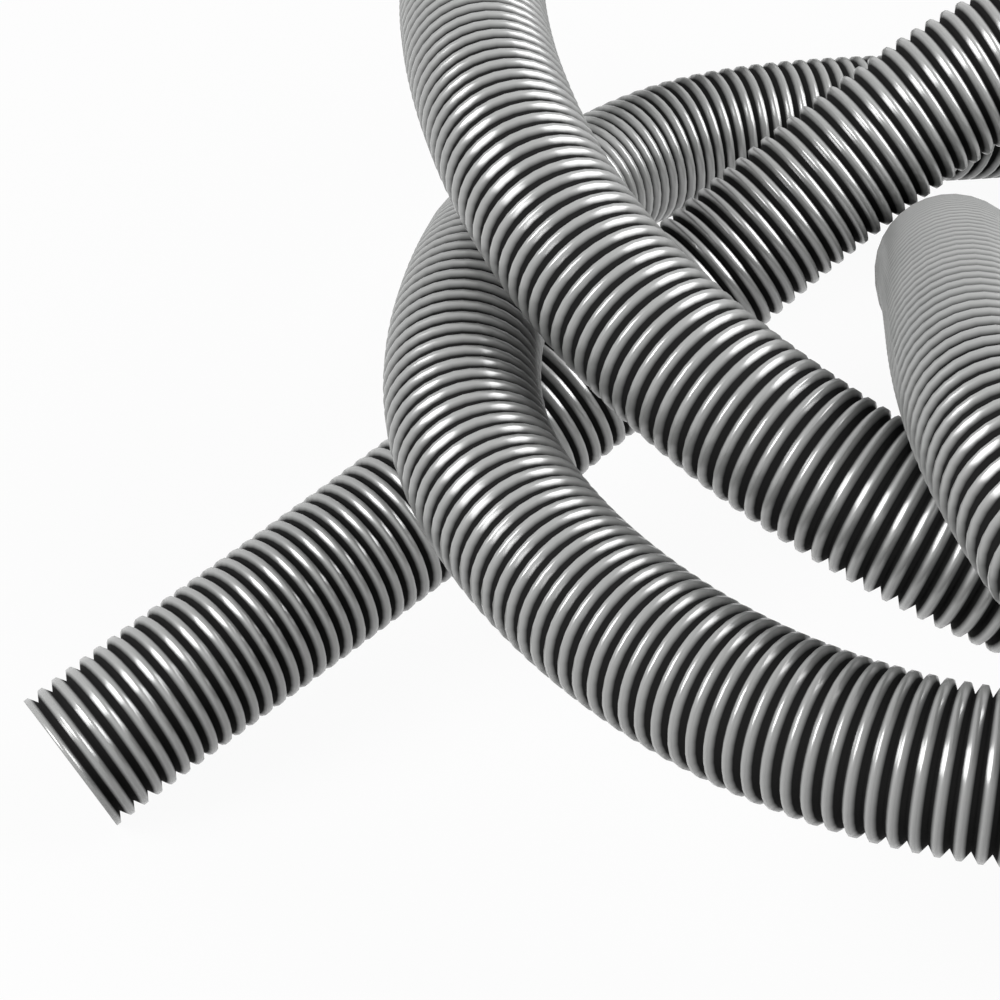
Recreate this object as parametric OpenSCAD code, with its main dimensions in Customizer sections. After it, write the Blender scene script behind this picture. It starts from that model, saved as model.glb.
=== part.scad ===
// Ribbed vacuum hose, lying in loose loops, with a bare cut end and a swivel cuff.
// Millimetres. +Z is up, and the loops rest on Z = 0 with the origin under their middle.

/* [Hose] */
// Outside diameter over the ribs
hose_d = 40; // [38:0.5:40.5]
// Wall of the hose under a rib
hose_wall = 4.5; // [4:0.25:6.5]
// Depth of the furrows between the ribs
rib_depth = 2; // [1:0.25:2.5]
// Number of ribs along the hose
rib_count = 185; // [120:1:185]

/* [Threaded collar] */
// Length of hose held in the collar
collar_grip = 28; // [24:1:34]
// Wall of the collar's sleeve
collar_wall = 2.4; // [2:0.1:2.6]
// Height of the flange above the sleeve
flange_h = 2; // [1.6:0.1:2.2]
// Thickness of the flange
flange_w = 4; // [3:0.5:6]
// Length of the fluted hand ring
hand_ring_w = 10; // [8:0.5:12]
// Height of the hand ring above the sleeve
hand_ring_h = 2.2; // [1.6:0.1:2.6]
// Number of flutes round the hand ring
hand_flutes = 20; // [12:1:28]
// Radius of each flute in the hand ring
flute_r = 1.6; // [1.2:0.1:2]

/* [Rings] */
// Thickness of the seal between the hose's end and the collar
seal_w = 2; // [1:0.25:3]
// Thickness of the slip washer behind the flange
washer_w = 1.2; // [0.8:0.1:2]
// Thickness of the retaining ring
retainer_w = 3.6; // [2.5:0.1:5]
// Depth of the retaining ring's groove in the cuff
retainer_bite = 0.6; // [0.4:0.1:0.8]
// Width of the split in the retaining ring and the slip washer
ring_split = 5; // [3:0.5:8]

/* [Swivel cuff] */
// Diameter of the tool spigot that the socket takes
spigot_d = 38; // [36:0.5:38.5]
// Depth of the socket
socket_depth = 46; // [38:1:48]
// Wall of the socket
socket_wall = 2.6; // [2:0.1:3]
// Wall of the skirt round the flange
skirt_wall = 1.5; // [1.2:0.1:1.7]
// Thickness of the web between skirt and socket
web_w = 3; // [2:0.25:5]
// Length of the cone between skirt and socket
cone_w = 9; // [6:0.5:14]
// Length of the bead round the mouth
bead_w = 11; // [9:0.5:14]
// Height of the bead above the socket's wall
bead_h = 2; // [1.6:0.1:2.4]
// Lead-in chamfer of the mouth
lead_in = 0.8; // [0.4:0.1:1]
// Thickness of the O-ring in the mouth
o_ring_d = 2.4; // [1.8:0.1:2.6]

/* [Grip] */
// Thickness of the soft grip round the skirt
grip_t = 1.3; // [1:0.1:1.4]
// Number of finger flutes round the grip
grip_flutes = 30; // [18:1:40]
// Depth of the finger flutes
grip_flute_depth = 0.7; // [0.4:0.1:0.8]
// Width of each finger flute
grip_flute_w = 3; // [2:0.1:3.4]

/* [Fits] */
// Radial gap where the cuff turns on the collar
run_gap = 0.05; // [0.02:0.01:0.1]
// Gap where pieces seat on each other
seat_gap = 0.1; // [0.05:0.01:0.2]
// Radial gap between the socket and the spigot
spigot_gap = 0.1; // [0.05:0.01:0.2]

/* [Hidden] */

// Control points of the hose's centre line, from the bare end to the cuff.
// It is a uniform cubic B-spline, and the last four points give the straight end.
route = [
    [-333, -137, -42], [-260, -126, 23], [-177, -52, 43], [-95, 12, 80], [-3, 49, 149],
    [89, 63, 153], [184, -27, 74], [126, -161, 72], [-8, -233, 90], [-106, -189, 87],
    [-170, -96, 103], [-145, -6, 113], [-151, 79, 48], [-100, 155, 59], [16, 151, 59],
    [72, 256, 16], [212, 250, 17], [255, 129, 16], [253, 10, 17], [174, -82, 15],
    [82, -128, 48], [-33, -166, 105], [-120, -92, 130], [-155, -20, 157], [-160, 119, 148],
    [-101, 260, 78], [7, 287, 78], [110, 187, 97], [157, 90, 79], [193, 37, 51],
    [202, -91, 68], [161, -189, 19], [89, -300, 68], [-45, -228, 166], [-35, -93, 143],
    [-27, 7, 96], [-15, 68, 34], [36, 126, 24], [98, 146, 34], [144, 159, 46],
    [190, 172, 58], [236, 185, 70]
];
ring_sides = 8;      // sides of each ring of the hose
steps_per_span = 16; // samples in each span of the centre line
gap_step = 10;       // spacing of the points that measure the hose's gap to itself
gap_skip = 120;      // length of hose to each side that this measure leaves out

// Radii round the hose's axis, from the middle outwards
hose_r = hose_d / 2;
bore_r = hose_r - hose_wall;
furrow_r = hose_r - rib_depth;
sleeve_in_r = hose_r + seat_gap;
sleeve_r = sleeve_in_r + collar_wall;
flange_r = sleeve_r + flange_h;
hand_ring_r = sleeve_r + hand_ring_h;
cavity_r = flange_r + run_gap;
groove_r = cavity_r + retainer_bite;
skirt_r = groove_r + skirt_wall;
grip_in_r = skirt_r + run_gap;
grip_r = grip_in_r + grip_t;
socket_r = spigot_d / 2 + spigot_gap;
socket_out_r = socket_r + socket_wall;
bead_r = socket_out_r + bead_h;
o_ring_mid_r = socket_r + run_gap + o_ring_d / 2;
o_ring_seat_r = o_ring_mid_r + o_ring_d / 2 + run_gap;

// Places along the cuff's axis, from the hose's end outwards
flange_back = seal_w;
flange_front = flange_back + flange_w;
washer_back = flange_back - seat_gap - washer_w;
retainer_front = washer_back - seat_gap;
retainer_back = retainer_front - retainer_w;
cuff_back = retainer_back - seat_gap - skirt_wall;
web_back = flange_front + seat_gap;
socket_floor = web_back + web_w;
cuff_front = socket_floor + socket_depth;
bead_back = cuff_front - bead_w;
o_ring_at = cuff_front - bead_w / 2;
o_ring_half = o_ring_d / 2 + run_gap;
grip_back = cuff_back;
grip_front = socket_floor;

$fn = 96;

// Centre line ------------------------------------------------------------

function unit(v) = v / norm(v);

// Place on the centre line at u spans from the bare end
function route_point(u) =
    let (i = min(floor(u), len(route) - 4), t = u - i)
    (
        pow(1 - t, 3) * route[i]
        + (3 * pow(t, 3) - 6 * t * t + 4) * route[i + 1]
        + (-3 * pow(t, 3) + 3 * t * t + 3 * t + 1) * route[i + 2]
        + pow(t, 3) * route[i + 3]
    ) / 6;

// Direction of the centre line at u spans from the bare end
function route_way(u) =
    let (i = min(floor(u), len(route) - 4), t = u - i)
    unit(
        -pow(1 - t, 2) * route[i]
        + (3 * t * t - 4 * t) * route[i + 1]
        + (-3 * t * t + 2 * t + 1) * route[i + 2]
        + t * t * route[i + 3]
    );

samples = (len(route) - 3) * steps_per_span;
sample_points = [for (k = [0:samples]) route_point(k / steps_per_span)];
chords = [for (k = [1:samples]) norm(sample_points[k] - sample_points[k - 1])];
// Length of hose up to each sample, paired with the sample's place in spans
span_at_length = [
    for (k = 0, run = 0; k <= samples; run = run + (k < samples ? chords[k] : 0), k = k + 1)
        [run, k / steps_per_span]
];
hose_length = span_at_length[samples][0];
function span_at(run) = lookup(run, span_at_length);

end_b = route_point(len(route) - 3);
end_b_way = route_way(len(route) - 3);

// Carries a piece that is drawn along +Z to the hose's cuff end
module at_cuff_end() {
    translate(end_b)
        rotate([0, acos(end_b_way.z), atan2(end_b_way.y, end_b_way.x)])
            children();
}

// Hose -------------------------------------------------------------------

// Ring of radius r square to the centre line. Two corners face down, and none
// goes below the floor.
function hose_ring(run, r) =
    let (
        u = span_at(run),
        middle = route_point(u),
        way = route_way(u),
        side = unit(cross(way, [0, 0, 1])),
        up = cross(side, way)
    )
    [
        for (k = [0:ring_sides - 1])
            let (a = (k + 0.5) * 360 / ring_sides, p = middle + r * (cos(a) * side + sin(a) * up))
            [p.x, p.y, max(0, p.z)]
    ];

// Least gap between two stretches of the hose, measured on its centre line
function least_gap() =
    let (
        p = [for (run = [0:gap_step:hose_length]) route_point(span_at(run))],
        skip = ceil(gap_skip / gap_step)
    )
    min([
        for (i = [0:len(p) - 1 - skip])
            min([for (j = [i + skip:len(p) - 1]) norm(p[i] - p[j])])
    ]) - hose_d;

// The hose: ribs outside, a smooth bore inside, and a flat rim at each end
module hose() {
    rib_w = hose_length / rib_count;
    outer_rings = [
        for (k = [0:2 * rib_count])
            hose_ring(k * rib_w / 2, k % 2 == 0 ? hose_r : furrow_r)
    ];
    bore_rings = [for (k = [rib_count:-1:0]) hose_ring(k * rib_w, bore_r)];
    rings = concat(outer_rings, bore_rings);
    corners = [for (ring = rings, p = ring) p];
    function corner(ring, side) = (ring % len(rings)) * ring_sides + side % ring_sides;
    faces = [
        for (j = [0:len(rings) - 1], k = [0:ring_sides - 1])
            let (a = corner(j, k), b = corner(j, k + 1), c = corner(j + 1, k + 1), d = corner(j + 1, k))
            each [[a, b, c], [a, c, d]]
    ];
    echo(str("length of the hose: ", hose_length, " mm"));
    echo(str("least gap of the hose to itself: ", least_gap(), " mm"));
    color("dimgray") polyhedron(points = corners, faces = faces);
}

// Pieces fixed on the hose -------------------------------------------------

// Ring from one place on the axis to another, with an inner and an outer radius
module ring(from, to, inner_r, outer_r) {
    rotate_extrude()
        translate([inner_r, from])
            square([outer_r - inner_r, to - from]);
}

// Same ring with a straight split through one side
module split_ring(from, to, inner_r, outer_r) {
    difference() {
        ring(from, to, inner_r, outer_r);
        translate([0, -ring_split / 2, from - 1])
            cube([outer_r + 1, ring_split, to - from + 2]);
    }
}

// Sleeve on the hose's end, with a flange in front and a fluted hand ring behind
module threaded_collar() {
    color("gray") at_cuff_end() difference() {
        rotate_extrude()
            polygon([
                [sleeve_in_r, -collar_grip],
                [hand_ring_r, -collar_grip],
                [hand_ring_r, hand_ring_w - collar_grip],
                [sleeve_r, hand_ring_w + hand_ring_h - collar_grip],
                [sleeve_r, flange_back],
                [flange_r, flange_back],
                [flange_r, flange_front],
                [bore_r, flange_front],
                [bore_r, flange_back],
                [sleeve_in_r, flange_back]
            ]);
        for (k = [0:hand_flutes - 1])
            rotate(k * 360 / hand_flutes)
                translate([hand_ring_r + flute_r / 2, 0, -collar_grip - 1])
                    cylinder(r = flute_r, h = hand_ring_w + hand_ring_h + 1, $fn = 24);
    }
}

// Flat seal between the hose's cut end and the collar's inner step
module seal_ring() {
    color("black") at_cuff_end() ring(0, seal_w, bore_r, hose_r);
}

// Split washer that the cuff slides on behind the flange
module slip_washer() {
    color("ivory") at_cuff_end()
        split_ring(washer_back, washer_back + washer_w, sleeve_r + run_gap, flange_r);
}

// Pieces that turn ---------------------------------------------------------

// Split ring, sprung into the cuff's groove, that holds the cuff on the flange
module retaining_ring() {
    color("silver") at_cuff_end()
        split_ring(retainer_back, retainer_front, sleeve_r + run_gap, groove_r - run_gap);
}

// Cuff: a skirt round the flange, a web, and a socket for the tool's spigot
module swivel_cuff() {
    color("darkslategray") at_cuff_end() rotate_extrude() polygon([
        [sleeve_r + seat_gap, cuff_back],
        [skirt_r, cuff_back],
        [skirt_r, socket_floor],
        [socket_out_r, socket_floor + cone_w],
        [socket_out_r, bead_back],
        [bead_r, bead_back + bead_h],
        [bead_r, cuff_front - lead_in],
        [bead_r - lead_in, cuff_front],
        [socket_r + lead_in, cuff_front],
        [socket_r, cuff_front - lead_in],
        [socket_r, o_ring_at + o_ring_half],
        [o_ring_seat_r, o_ring_at + o_ring_half],
        [o_ring_seat_r, o_ring_at - o_ring_half],
        [socket_r, o_ring_at - o_ring_half],
        [socket_r, socket_floor],
        [bore_r, socket_floor],
        [bore_r, web_back],
        [cavity_r, web_back],
        [cavity_r, retainer_front + seat_gap],
        [groove_r, retainer_front + seat_gap],
        [groove_r, retainer_back - seat_gap],
        [sleeve_r + seat_gap, retainer_back - seat_gap]
    ]);
}

// Soft grip round the skirt, with finger flutes
module cuff_grip() {
    color("slategray") at_cuff_end() difference() {
        ring(grip_back, grip_front, grip_in_r, grip_r);
        for (k = [0:grip_flutes - 1])
            rotate(k * 360 / grip_flutes)
                translate([grip_r - grip_flute_depth, -grip_flute_w / 2, grip_back - 1])
                    cube([grip_t, grip_flute_w, grip_front - grip_back + 2]);
    }
}

// O-ring in the mouth of the socket
module cuff_o_ring() {
    color("black") at_cuff_end()
        rotate_extrude()
            translate([o_ring_mid_r, o_ring_at])
                circle(d = o_ring_d, $fn = 24);
}

hose();
threaded_collar();
seal_ring();
slip_washer();
retaining_ring();
swivel_cuff();
cuff_grip();
cuff_o_ring();
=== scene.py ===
"""Ribbed vacuum hose in loose loops: bare cut end in front, swivel cuff at the other end.

Metres throughout, in the frame of the construction model: +Z up, the floor at Z = 0.
"""
import math

import bpy
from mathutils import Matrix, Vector


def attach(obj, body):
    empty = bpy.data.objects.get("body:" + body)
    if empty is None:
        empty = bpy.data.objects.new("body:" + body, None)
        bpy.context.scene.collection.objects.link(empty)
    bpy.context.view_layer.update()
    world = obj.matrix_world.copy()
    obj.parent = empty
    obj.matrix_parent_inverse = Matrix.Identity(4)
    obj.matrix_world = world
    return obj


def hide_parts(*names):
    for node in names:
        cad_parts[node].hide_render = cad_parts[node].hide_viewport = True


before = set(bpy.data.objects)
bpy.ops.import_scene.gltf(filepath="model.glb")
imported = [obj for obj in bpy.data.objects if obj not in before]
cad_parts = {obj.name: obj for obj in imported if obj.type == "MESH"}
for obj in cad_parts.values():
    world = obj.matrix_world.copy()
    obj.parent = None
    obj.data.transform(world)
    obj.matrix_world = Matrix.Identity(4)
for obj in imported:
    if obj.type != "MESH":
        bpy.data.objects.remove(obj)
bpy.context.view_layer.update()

MM = 0.001

# Hose
HOSE_D = 40 * MM            # outside diameter over the ribs
BORE_D = 31 * MM            # bore, between its ribbed ends
WALL = 1.1 * MM             # thickness of the ribbed wall
RIB_PITCH = 4.42 * MM       # from rib to rib
RIB_DEPTH = 2.6 * MM        # from crest to furrow
CREST_SHARE = 0.3           # part of the pitch that a rib's crest takes on a straight
CREST_LEAST = 0.06          # least part that it takes, on the outer side of a bend
CREST_MOST = 0.7            # most that it takes, on the inner side
RIB_SHARE = 0.5             # part of the straight pitch at which neighbouring ribs would touch
SIDES = 32                  # faces round the hose
END_RIBS = 8                # ribs that also show inside, at each end
BORE_STEP = 6               # ribs from ring to ring of the plain bore between
COLLAR_GRIP = 28 * MM       # length of hose held in the collar
SAMPLES_PER_SPAN = 24       # centre line points in each span of the route
JOIN_WITHIN = 0.001 * MM    # points closer than this become one

# Centre line's control points in millimetres, from the bare end to the cuff:
# a uniform cubic B-spline
ROUTE = [
    (-333, -137, -42), (-260, -126, 23), (-177, -52, 43), (-95, 12, 80), (-3, 49, 149),
    (89, 63, 153), (184, -27, 74), (126, -161, 72), (-8, -233, 90), (-106, -189, 87),
    (-170, -96, 103), (-145, -6, 113), (-151, 79, 48), (-100, 155, 59), (16, 151, 59),
    (72, 256, 16), (212, 250, 17), (255, 129, 16), (253, 10, 17), (174, -82, 15),
    (82, -128, 48), (-33, -166, 105), (-120, -92, 130), (-155, -20, 157), (-160, 119, 148),
    (-101, 260, 78), (7, 287, 78), (110, 187, 97), (157, 90, 79), (193, 37, 51),
    (202, -91, 68), (161, -189, 19), (89, -300, 68), (-45, -228, 166), (-35, -93, 143),
    (-27, 7, 96), (-15, 68, 34), (36, 126, 24), (98, 146, 34), (144, 159, 46),
    (190, 172, 58), (236, 185, 70),
]

# Hose plastic
CREST_COLOURS = [(0.21, 0.215, 0.212, 1), (0.26, 0.262, 0.256, 1)]   # cloudy between the two
# Painted shade: the furrows are coloured near black, standing in for the shadow that falls in them
FURROW_SHADE_COLOUR = (0.012, 0.012, 0.012, 1)
SHADE_FROM = 0.06            # depth at which a furrow starts to darken, 1 being its middle
SHADE_RATE = 2.2             # how fast it darkens from there on
COAT_ON_CREST = 1.15        # gloss coat on a crest, over 1 so that the fade starts lower down
COAT_FADE = 2.4             # how fast the coat fades with depth
CREST_ROUGHNESS = 0.3
CLOUD_ROUGHNESS = 0.1       # what the clouds add to it
FURROW_ROUGHNESS = 0.4      # what a furrow adds to it

# Camera: place, degrees that it looks down, lens and sensor in millimetres, and how near it sees
CAMERA_PLACE = (-0.148, -0.84615, 0.58984)
CAMERA_DOWN = 34
CAMERA_LENS = 130
CAMERA_SENSOR = 36
CAMERA_NEAREST = 0.05

# Lights: name, place, width and watts. They all aim at one point.
LIGHT_AIM = (0, 0, 0.06)
LIGHTS = [
    ("key", (-1.2, -0.65, 1.05), 1.0, 30),
    ("side", (1.2, 0.05, 1.25), 1.5, 44),
]
ROOM_LIGHT = 0.05           # strength of the world, apart from its white background

# Floor: distance from the middle to its sides, colour, and its white glow for the camera
FLOOR_REACH = 4.0
FLOOR_COLOUR = (0.5, 0.5, 0.5, 1)
FLOOR_WHITE = 0.95


def add_object(name, data):
    """A new object in the scene."""
    added = bpy.data.objects.new(name, data)
    bpy.context.scene.collection.objects.link(added)
    return added


# Camera ---------------------------------------------------------------------

def make_camera():
    """The scene's camera, which looks straight along +Y and down."""
    data = bpy.data.cameras.new("camera")
    data.lens = CAMERA_LENS
    data.sensor_width = CAMERA_SENSOR
    data.clip_start = CAMERA_NEAREST
    camera = add_object("camera", data)
    camera.location = CAMERA_PLACE
    camera.rotation_euler = (math.radians(90 - CAMERA_DOWN), 0, 0)
    bpy.context.scene.camera = camera


# Node trees -------------------------------------------------------------------

class Value:
    """A socket that carries a number, on which +, -, * and / add Math nodes."""

    def __init__(self, tree, socket):
        self.tree = tree
        self.socket = socket

    def math(self, operation, *others):
        """The result of a Math node on this value and others."""
        node = self.tree.nodes.new("ShaderNodeMath")
        node.operation = operation
        for place, item in enumerate((self, *others)):
            plug(self.tree, item, node.inputs[place])
        return Value(self.tree, node.outputs[0])

    def __add__(self, other):
        return self.math("ADD", other)

    __radd__ = __add__

    def __mul__(self, other):
        return self.math("MULTIPLY", other)

    __rmul__ = __mul__

    def __sub__(self, other):
        return self.math("SUBTRACT", other)

    def __rsub__(self, other):
        return Tree(self.tree).number(other).math("SUBTRACT", self)

    def __truediv__(self, other):
        return self.math("DIVIDE", other)

    def over(self, limit):
        """1 where the value is over the limit, otherwise 0."""
        return self.math("GREATER_THAN", limit)

    def clamp(self, low=0.0, high=1.0):
        """The value, held between two limits."""
        return self.math("MAXIMUM", low).math("MINIMUM", high)


def plug(tree, item, socket):
    """Links a Value or an output socket to an input socket, or sets it to a plain value."""
    if isinstance(item, Value):
        tree.links.new(item.socket, socket)
    elif isinstance(item, bpy.types.NodeSocket):
        tree.links.new(item, socket)
    else:
        socket.default_value = item


class Tree:
    """A node tree, with a method that adds any node and others for what is common."""

    def __init__(self, tree):
        self.tree = tree

    def node(self, kind, settings=None, **inputs):
        """Adds a node, sets its settings first, then its inputs by their names.

        An input's name has its spaces as underscores, and in_N is input number N.
        """
        node = self.tree.nodes.new(kind)
        for name, value in (settings or {}).items():
            setattr(node, name, value)
        for name, value in inputs.items():
            if name.startswith("in_"):
                socket = node.inputs[int(name[3:])]
            else:
                socket = node.inputs[name.replace("_", " ")]
            plug(self.tree, value, socket)
        return node

    def number(self, value):
        """A constant as a Value."""
        node = self.tree.nodes.new("ShaderNodeValue")
        node.outputs[0].default_value = value
        return Value(self.tree, node.outputs[0])

    def value(self, node, output=0):
        """A node's output as a Value."""
        return Value(self.tree, node.outputs[output])

    def vector(self, operation, *vectors, **inputs):
        """Adds a Vector Math node and returns its vector output."""
        for place, item in enumerate(vectors):
            inputs["in_%d" % place] = item
        return self.node("ShaderNodeVectorMath", {"operation": operation}, **inputs).outputs[0]

    def noise(self, scale, detail):
        """Noise over the object's own coordinates, as a Value."""
        coords = self.node("ShaderNodeTexCoord").outputs["Object"]
        noise = self.node("ShaderNodeTexNoise", Vector=coords, Scale=scale, Detail=detail)
        return self.value(noise, "Fac")

    def blend(self, share, first, second):
        """A colour between two others."""
        settings = {"data_type": "RGBA"}
        mix = self.node("ShaderNodeMix", settings, Factor=share, in_6=first, in_7=second)
        return mix.outputs[2]

    def bump(self, strength, distance, height):
        """A normal, bent by a height."""
        node = self.node("ShaderNodeBump", Strength=strength, Distance=distance, Height=height)
        return node.outputs[0]


def fresh_tree(owner):
    """The node tree of a material or world, emptied."""
    owner.use_nodes = True
    owner.node_tree.nodes.clear()
    return Tree(owner.node_tree)


# Hose -------------------------------------------------------------------------

def route_points():
    """Points along the hose's centre line, in metres."""
    points = []
    spans = len(ROUTE) - 3
    for step in range(spans * SAMPLES_PER_SPAN + 1):
        span = min(step // SAMPLES_PER_SPAN, spans - 1)
        t = step / SAMPLES_PER_SPAN - span
        a, b, c, d = (Vector(p) * MM for p in ROUTE[span:span + 4])
        points.append((
            (1 - t) ** 3 * a
            + (3 * t ** 3 - 6 * t * t + 4) * b
            + (-3 * t ** 3 + 3 * t * t + 3 * t + 1) * c
            + t ** 3 * d
        ) / 6)
    return points


def length_of(points):
    """Length of the line through the points."""
    return sum((q - p).length for p, q in zip(points, points[1:]))


def hose_tree(material):
    """Geometry nodes that lay a ribbed tube along a curve.

    A grid gives the faces: one row for each ring of the tube, out along the ribs and back
    along the bore, and one column for each side. Each row takes its place on the curve and
    its radius from a formula. Every rib has three rings: two edges of its crest, and the
    furrow behind it. In a bend the furrows take the change of pitch: they close on the
    inner side and open on the outer side. The bore follows the ribs near both ends and is
    plain between.
    """
    group = bpy.data.node_groups.new("ribbed_hose", "GeometryNodeTree")
    sockets = group.interface
    sockets.new_socket("Geometry", in_out="INPUT", socket_type="NodeSocketGeometry")
    sockets.new_socket("Geometry", in_out="OUTPUT", socket_type="NodeSocketGeometry")
    # Length and Ribs are for a metre here, and the modifier sets both
    sizes = {
        "Length": 1.0, "Crest radius": HOSE_D / 2, "Bore radius": BORE_D / 2,
        "Rib depth": RIB_DEPTH, "Wall": WALL, "Crest share": CREST_SHARE, "Rib share": RIB_SHARE,
        "Ribs": round(1.0 / RIB_PITCH), "Sides": SIDES, "End ribs": END_RIBS,
        "Bore step": BORE_STEP,
    }
    for name, size in sizes.items():
        kind = "NodeSocketInt" if isinstance(size, int) else "NodeSocketFloat"
        sockets.new_socket(name, in_out="INPUT", socket_type=kind).default_value = size
    t = Tree(group)
    inputs = t.node("NodeGroupInput")
    given = {name: Value(group, inputs.outputs[name]) for name in sizes}
    length, ribs, sides = given["Length"], given["Ribs"], given["Sides"]
    crest_r, wall = given["Crest radius"], given["Wall"]
    crest_share, rib_share = given["Crest share"], given["Rib share"]

    # Rows: outer rings 0..n, bore rings n..0, and the first outer ring once more.
    # Rows and rings are whole numbers, so limits at a half tell them apart.
    rings = ribs * 3
    end_rings = given["End ribs"] * 3
    bore_skip = given["Bore step"] * 3
    plain_rings = rings - end_rings * 2
    plain_rows = (plain_rings / bore_skip).math("CEIL")
    bore_rows = end_rings * 2 + plain_rows
    grid = t.node(
        "GeometryNodeMeshGrid", Size_X=1.0, Size_Y=1.0,
        Vertices_X=rings + bore_rows + 3, Vertices_Y=sides + 1,
    )
    index = t.value(t.node("GeometryNodeInputIndex"))
    row = (index / (sides + 1)).math("FLOOR")
    column = index - row * (sides + 1)
    again = row.over(rings + bore_rows + 1.5)
    bore = row.over(rings + 0.5) * (1 - again)
    back = row - rings - 1
    far_rows = back.math("MINIMUM", end_rings)
    middle_rows = (back - end_rings).clamp(0.0, plain_rows)
    near_rows = (back - end_rings - plain_rows).math("MAXIMUM", 0.0)
    skipped = (middle_rows * bore_skip).math("MINIMUM", plain_rings)
    bore_ring = rings - far_rows - skipped - near_rows
    ring = (1 - bore) * (1 - again) * row + bore * bore_ring

    def point_on_hose(at, radius):
        """Point at a length along the hose, on the side of this column."""
        curve_point = t.node(
            "GeometryNodeSampleCurve", {"mode": "LENGTH", "use_all_curves": True},
            Curves=inputs.outputs["Geometry"], Length=at,
        )
        tangent = curve_point.outputs["Tangent"]
        across = t.vector("CROSS_PRODUCT", tangent, (0.0, 0.0, 1.0))
        side = t.vector("NORMALIZE", across)
        up = t.vector("CROSS_PRODUCT", side, tangent)
        angle = column / sides * math.tau
        to_side = t.vector("SCALE", side, Scale=angle.math("COSINE") * radius)
        to_up = t.vector("SCALE", up, Scale=angle.math("SINE") * radius)
        offset = t.vector("ADD", to_side, to_up)
        return t.vector("ADD", curve_point.outputs["Position"], offset)

    # Pitch of the ribs on this side, over their pitch on a straight
    pitch = length / ribs
    middle_at = (ring / rings * length).clamp(pitch, length - pitch)
    before = point_on_hose(middle_at - pitch, crest_r)
    after = point_on_hose(middle_at + pitch, crest_r)
    gap = t.node("ShaderNodeVectorMath", {"operation": "DISTANCE"}, in_0=before, in_1=after)
    stretch = t.value(gap, "Value") / (pitch * 2)

    # The crest's share of this side's pitch grows as the furrow closes
    open_share = (stretch - rib_share) / stretch / (1 - rib_share)
    share = (1 - (1 - crest_share) * open_share).clamp(CREST_LEAST, CREST_MOST)

    # Each ring's place along the hose: two edges about the middle of a crest, then a furrow.
    # They stand at 0, 1/3 and 2/3 of a rib in ring numbers. The bare end starts with a
    # whole crest. 0.1 keeps rounding from losing a rib.
    third = (ring / 3).math("FRACT")
    furrow = third.over(0.5)
    edge = third.over(0.2) - 0.5
    place_in_rib = share * edge * (1 - furrow) + 0.5 * furrow
    rib = (ring / 3 + 0.1).math("FLOOR") + crest_share / 2 + place_in_rib
    at = (rib * pitch).clamp(0.0, length)

    # Radius: the plain stretch of the bore ignores the ribs
    plain = back.over(end_rings - 0.5) * (1 - near_rows.over(0.5))
    outer_r = crest_r - given["Rib depth"] * furrow
    inner_r = (outer_r - wall) * (1 - plain) + given["Bore radius"] * plain
    radius = outer_r * (1 - bore) + inner_r * bore
    place = point_on_hose(at, radius)

    # The floor flattens what would reach below it, and the wall keeps its thickness there.
    # Nothing reaches as far as -10 on X or Y, so those two stay as they are.
    lowest = t.node("ShaderNodeCombineXYZ", X=-10.0, Y=-10.0, Z=bore * wall)
    on_floor = t.vector("MAXIMUM", place, lowest.outputs[0])

    mesh = grid.outputs["Mesh"]
    depth = {"Name": "depth", "Value": furrow}
    for kind, settings, more in (
        ("StoreNamedAttribute", {"data_type": "FLOAT", "domain": "POINT"}, depth),
        ("SetPosition", {}, {"Position": on_floor}),
        ("MergeByDistance", {}, {"Distance": JOIN_WITHIN}),
        ("SetShadeSmooth", {}, {}),
        ("RealizeInstances", {}, {}),
        ("SetMaterial", {}, {"Material": material}),
    ):
        mesh = t.node("GeometryNode" + kind, settings, Geometry=mesh, **more).outputs["Geometry"]
    t.node("NodeGroupOutput", Geometry=mesh)
    return group


def make_hose(material):
    """The whole hose as one closed mesh, with its bore."""
    points = route_points()
    length = length_of(points)
    curve = bpy.data.curves.new("hose_line", "CURVE")
    curve.dimensions = "3D"
    line = curve.splines.new("POLY")
    line.points.add(len(points) - 1)
    for spot, p in zip(line.points, points):
        spot.co = (*p, 1)
    guide = add_object("hose_line", curve)
    modifier = guide.modifiers.new("ribs", "NODES")
    modifier.node_group = hose_tree(material)
    sizes = {"Length": length, "Ribs": round(length / RIB_PITCH)}
    for item in modifier.node_group.interface.items_tree:
        if item.in_out == "INPUT" and item.name in sizes:
            modifier[item.identifier] = sizes[item.name]
    depsgraph = bpy.context.evaluated_depsgraph_get()
    mesh = bpy.data.meshes.new_from_object(guide.evaluated_get(depsgraph))
    bpy.data.objects.remove(guide)
    hose = add_object("ribbed_hose", mesh)
    end = points[-1]
    way = (points[-1] - points[-2]).normalized()
    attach(hose, "hose_line")
    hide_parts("hose")
    end - way * COLLAR_GRIP


# Materials --------------------------------------------------------------------

def new_material(name):
    """A material with a fresh Principled shader. Returns the material, its tree and shader."""
    material = bpy.data.materials.new(name)
    t = fresh_tree(material)
    shader = t.node("ShaderNodeBsdfPrincipled")
    t.node("ShaderNodeOutputMaterial", Surface=shader.outputs[0])
    return material, t, shader


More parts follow.
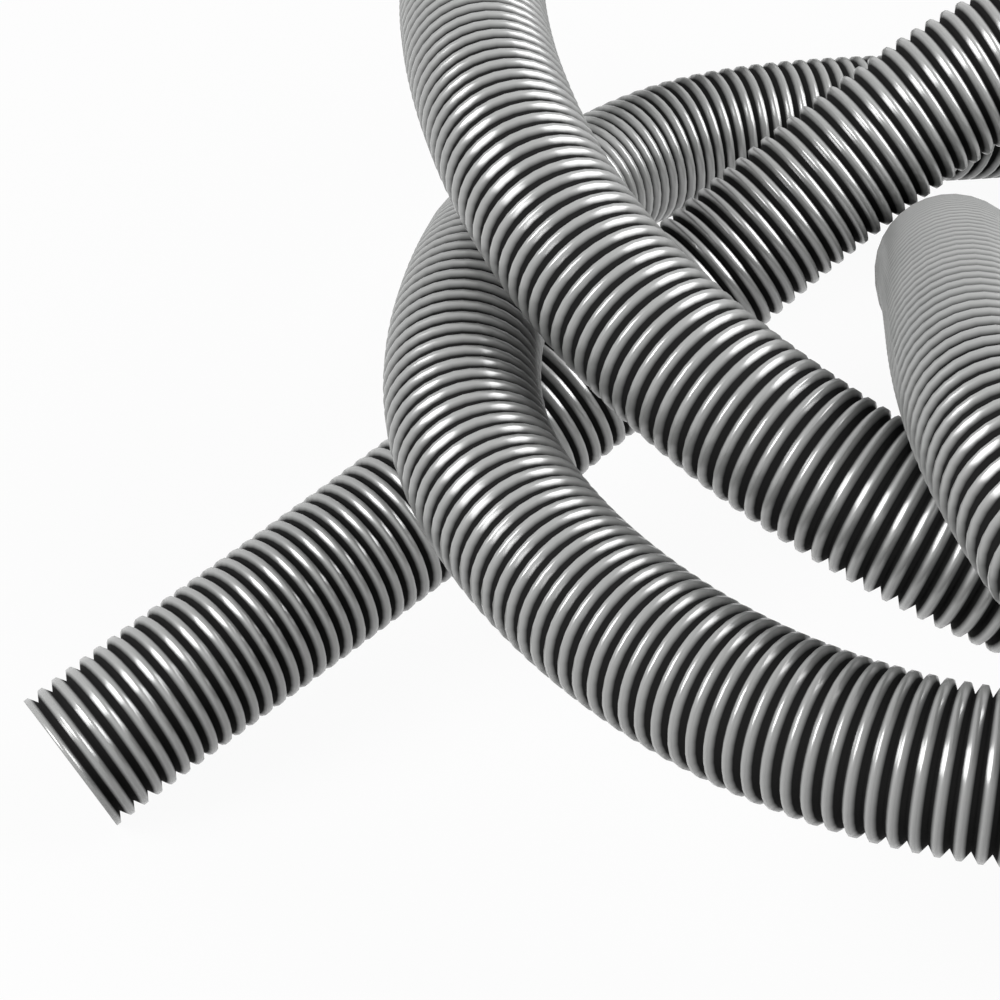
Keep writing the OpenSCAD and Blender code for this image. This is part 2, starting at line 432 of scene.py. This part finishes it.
def hose_plastic():
    """Grey semi-gloss plastic on the crests, with painted shade: near black down in the furrows in
    place of their shadow.
    """
    material, t, shader = new_material("hose_plastic")
    # 0 on a crest, rising to 1 in the middle of a furrow
    depth = t.value(t.node("ShaderNodeAttribute", {"attribute_name": "depth"}), "Fac")
    cloud = t.noise(scale=35.0, detail=3.0)
    grain = t.noise(scale=900.0, detail=2.0)
    # Painted shade: the colour sinks to near black with depth in a furrow, standing in for its
    # shadow; the same mask makes the furrow rougher
    painted_furrow_shade = ((depth - SHADE_FROM) * SHADE_RATE).clamp()
    colour = t.blend(painted_furrow_shade, t.blend(cloud, *CREST_COLOURS), FURROW_SHADE_COLOUR)
    roughness = CREST_ROUGHNESS + cloud * CLOUD_ROUGHNESS + painted_furrow_shade * FURROW_ROUGHNESS
    plug(t.tree, colour, shader.inputs["Base Color"])
    plug(t.tree, roughness.clamp(), shader.inputs["Roughness"])
    plug(t.tree, (COAT_ON_CREST - depth * COAT_FADE).clamp(), shader.inputs["Coat Weight"])
    shader.inputs["Specular IOR Level"].default_value = 0.02
    shader.inputs["Coat Roughness"].default_value = 0.24
    shader.inputs["Coat IOR"].default_value = 2.1
    normal = t.bump(strength=0.08, distance=0.2 * MM, height=grain)
    plug(t.tree, normal, shader.inputs["Normal"])
    return material


def moulded(name, colour, roughness, grain_scale=1200.0, grain_depth=0.06 * MM):
    """Moulded plastic or rubber with a fine grain and slight mottling."""
    material, t, shader = new_material(name)
    mottle = t.noise(scale=60.0, detail=4.0)
    grain = t.noise(scale=grain_scale, detail=2.0)
    darker = (*(c * 0.85 for c in colour), 1)
    lighter = (*(min(1, c * 1.15) for c in colour), 1)
    plug(t.tree, t.blend(mottle, darker, lighter), shader.inputs["Base Color"])
    plug(t.tree, roughness + mottle * 0.1, shader.inputs["Roughness"])
    normal = t.bump(strength=0.3, distance=grain_depth, height=grain)
    plug(t.tree, normal, shader.inputs["Normal"])
    return material


def spring_steel():
    """Bright steel with fine scratches."""
    material, t, shader = new_material("spring_steel")
    scratch = t.noise(scale=400.0, detail=3.0)
    shader.inputs["Metallic"].default_value = 1.0
    shader.inputs["Base Color"].default_value = (0.56, 0.56, 0.55, 1)
    plug(t.tree, 0.22 + scratch * 0.2, shader.inputs["Roughness"])
    return material


def dress_cad_nodes():
    """Gives each construction node that stays in view its finish."""
    finishes = {
        "threaded_collar": moulded("collar_plastic", (0.05, 0.05, 0.053), 0.34),
        "swivel_cuff": moulded("cuff_plastic", (0.03, 0.03, 0.032), 0.3),
        "cuff_grip": moulded(
            "grip_rubber", (0.06, 0.06, 0.063), 0.6, grain_scale=700.0, grain_depth=0.1 * MM,
        ),
        "seal_ring": moulded("seal_rubber", (0.02, 0.02, 0.02), 0.55),
        "cuff_o_ring": moulded("o_ring_rubber", (0.018, 0.018, 0.018), 0.45),
        "slip_washer": moulded("washer_plastic", (0.75, 0.73, 0.66), 0.3),
        "retaining_ring": spring_steel(),
    }
    for name, material in finishes.items():
        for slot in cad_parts[name].material_slots:
            slot.material = material


# Stage ------------------------------------------------------------------------

def white_for_camera(t, share):
    """A mix factor: this share where the camera, gloss or glass sees it, and 0 for other light."""
    path = t.node("ShaderNodeLightPath")
    seen = t.value(path, "Is Camera Ray")
    seen = seen.math("MAXIMUM", t.value(path, "Is Glossy Ray"))
    seen = seen.math("MAXIMUM", t.value(path, "Is Transmission Ray"))
    return seen * share


def make_floor():
    """A wide matte floor that glows white for the camera and keeps faint shadows."""
    reach = FLOOR_REACH
    mesh = bpy.data.meshes.new("floor")
    mesh.from_pydata(
        [(-reach, -reach, 0), (reach, -reach, 0), (reach, reach, 0), (-reach, reach, 0)],
        [], [(0, 1, 2, 3)],
    )
    material = bpy.data.materials.new("floor_white")
    t = fresh_tree(material)
    matte = t.node("ShaderNodeBsdfDiffuse", Color=FLOOR_COLOUR)
    glow = t.node("ShaderNodeEmission", Color=(1, 1, 1, 1), Strength=1.0)
    mix = t.node(
        "ShaderNodeMixShader", in_0=white_for_camera(t, FLOOR_WHITE),
        in_1=matte.outputs[0], in_2=glow.outputs[0],
    )
    t.node("ShaderNodeOutputMaterial", Surface=mix.outputs[0])
    mesh.materials.append(material)
    add_object("floor", mesh)


def make_world():
    """A dim world with a white background."""
    world = bpy.data.worlds.new("studio")
    bpy.context.scene.world = world
    t = fresh_tree(world)
    room = t.node("ShaderNodeBackground", Color=(1, 1, 1, 1), Strength=ROOM_LIGHT)
    white = t.node("ShaderNodeBackground", Color=(1, 1, 1, 1), Strength=1.0)
    mix = t.node(
        "ShaderNodeMixShader", in_0=white_for_camera(t, 1.0),
        in_1=room.outputs[0], in_2=white.outputs[0],
    )
    t.node("ShaderNodeOutputWorld", Surface=mix.outputs[0])


def make_lights():
    """Two round area lights."""
    for name, place, width, power in LIGHTS:
        data = bpy.data.lights.new(name, "AREA")
        data.shape = "DISK"
        data.size = width
        data.energy = power
        lamp = add_object(name, data)
        lamp.location = place
        way = Vector(LIGHT_AIM) - Vector(place)
        lamp.rotation_euler = way.to_track_quat("-Z", "Y").to_euler()


bpy.context.scene.view_settings.view_transform = "Standard"
make_camera()
make_hose(hose_plastic())
dress_cad_nodes()
make_floor()
make_world()
make_lights()
bpy.context.view_layer.update()
